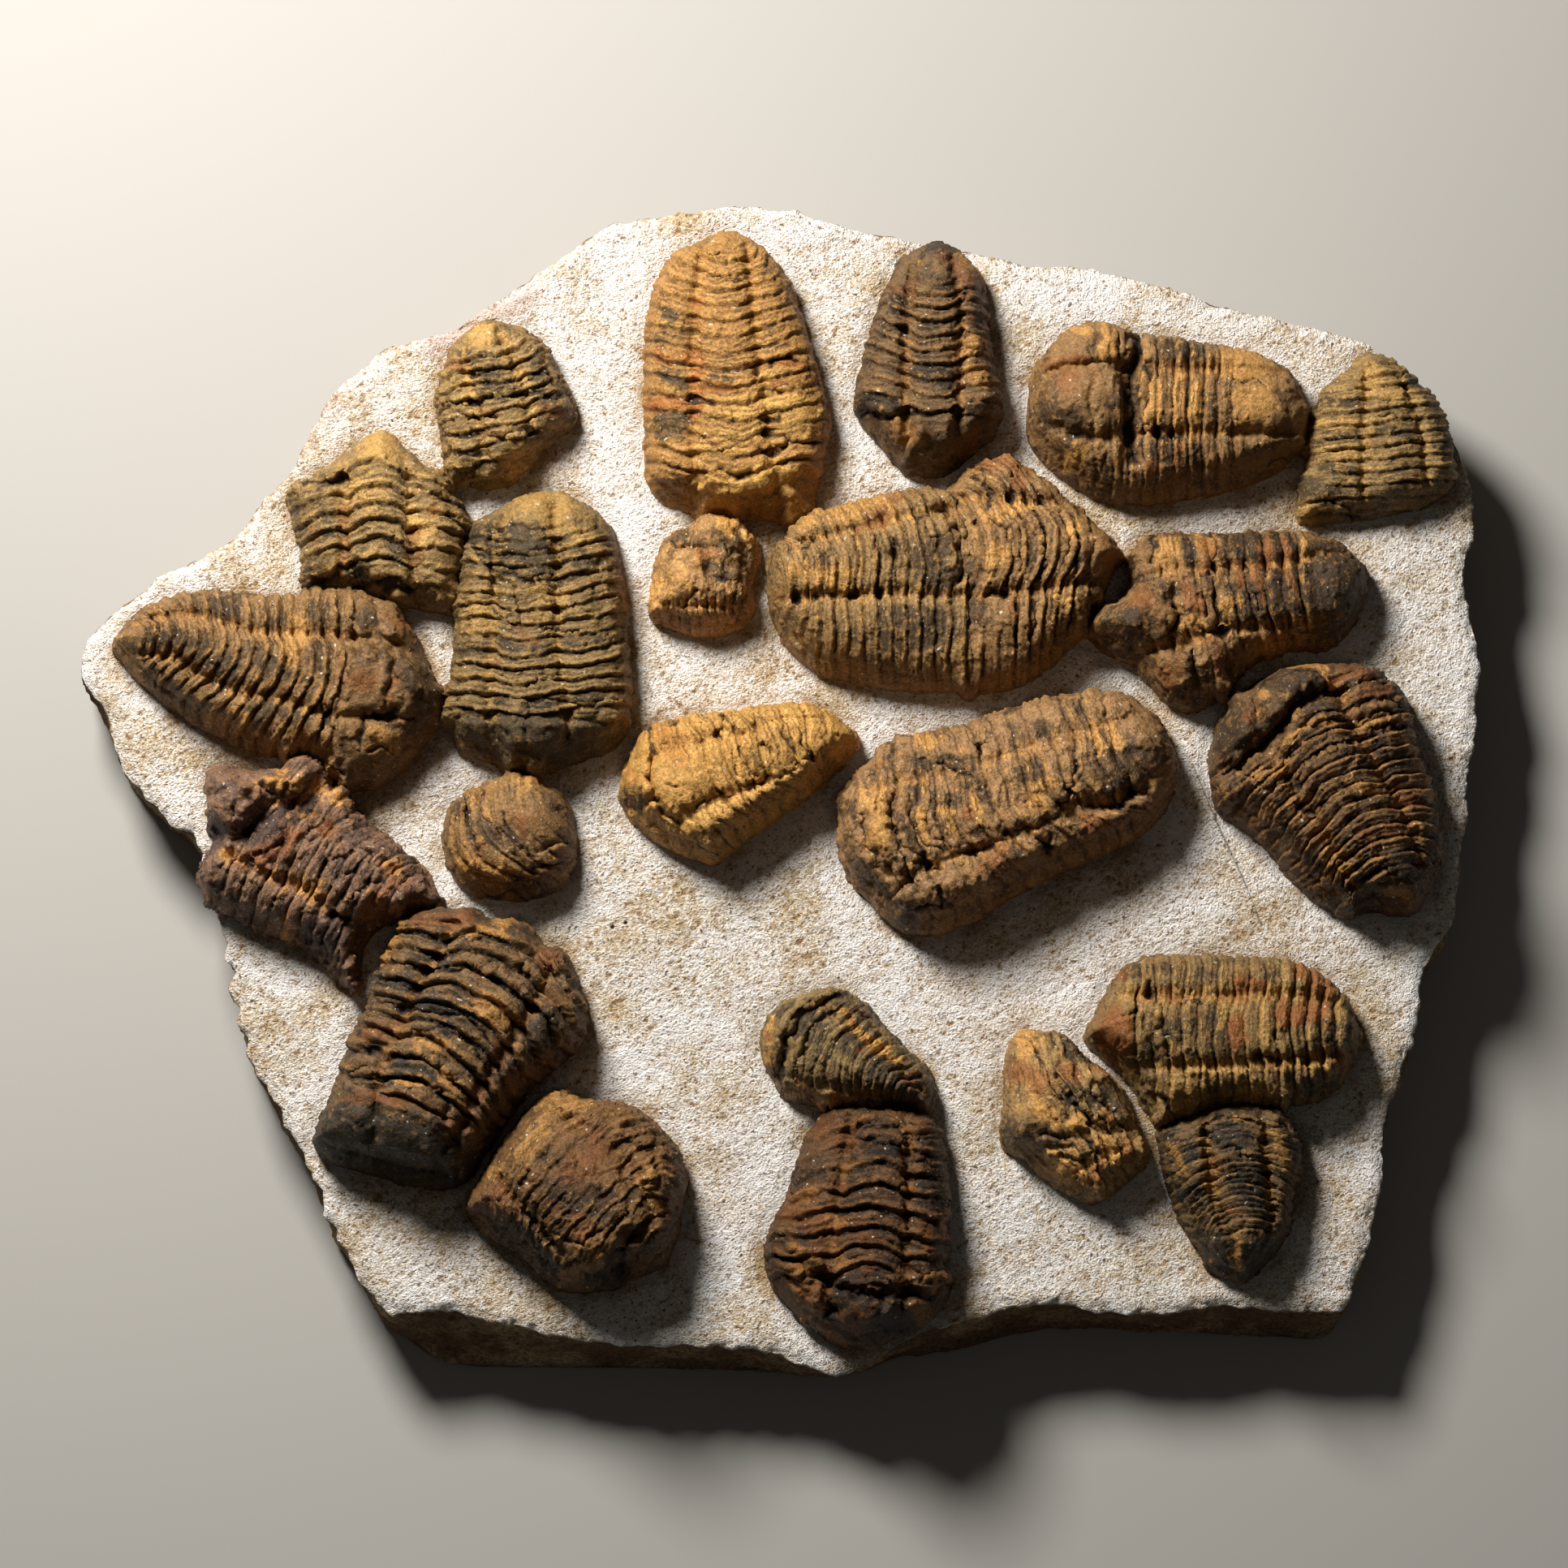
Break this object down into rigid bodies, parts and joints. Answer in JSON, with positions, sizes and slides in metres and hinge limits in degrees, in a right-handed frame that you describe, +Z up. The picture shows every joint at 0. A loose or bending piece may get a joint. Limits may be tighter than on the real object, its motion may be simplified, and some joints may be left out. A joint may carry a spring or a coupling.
{
  "type": "flexicalymene trilobite cluster",
  "caption": "Pale sandy limestone plate lying on its back, with brown calymenid trilobites standing proud of its face, some overlapping, curled or broken.",
  "frame": {"origin": "on the resting face, under the middle of the plate's bounding rectangle", "axes": "+Z up out of the fossil face, +X to the right and +Y to the top of the plate as pictured"},
  "size_m": [0.2876, 0.242, 0.0423],
  "materials": {
    "sandy_limestone": "pale sandy limestone, pecked with fine tool strokes, dull",
    "ochre_fossil": "ochre-yellow calcite and iron-stained fossil, dull with a faint sheen on ridges",
    "brown_fossil": "olive to rust brown fossil, dull with a faint sheen on ridges",
    "dark_fossil": "dark grey-brown fossil with rust in the grooves, faint sheen on ridges"
  },
  "bodies": {
    "root": {"matrix_slab": "sandy_limestone", "trilobite_01_small_upper_left": "brown_fossil", "trilobite_02_headless_left": "brown_fossil", "trilobite_03_tall_left": "brown_fossil", "trilobite_04_long_far_left": "brown_fossil", "trilobite_05_slanted_left": "dark_fossil", "trilobite_06_broad_lower_left": "dark_fossil", "trilobite_07_rolled_bottom_left": "brown_fossil", "trilobite_08_small_rolled": "brown_fossil", "trilobite_09_tall_top": "ochre_fossil", "trilobite_10_dark_top": "dark_fossil", "trilobite_11_curled_fragment": "brown_fossil", "trilobite_12_pair_left": "brown_fossil", "trilobite_13_pair_right": "brown_fossil", "trilobite_14_upper_right": "brown_fossil", "trilobite_15_tail_far_right": "brown_fossil", "trilobite_16_middle_right": "brown_fossil", "trilobite_17_dark_right": "dark_fossil", "trilobite_18_ochre_middle": "ochre_fossil", "trilobite_19_large_middle": "brown_fossil", "trilobite_20_bottom_upper": "dark_fossil", "trilobite_21_bottom_long": "dark_fossil", "trilobite_22_curled_lower_right": "brown_fossil", "trilobite_23_long_lower_right": "brown_fossil", "trilobite_24_tail_lower_right": "dark_fossil"}
  },
  "joints": []
}
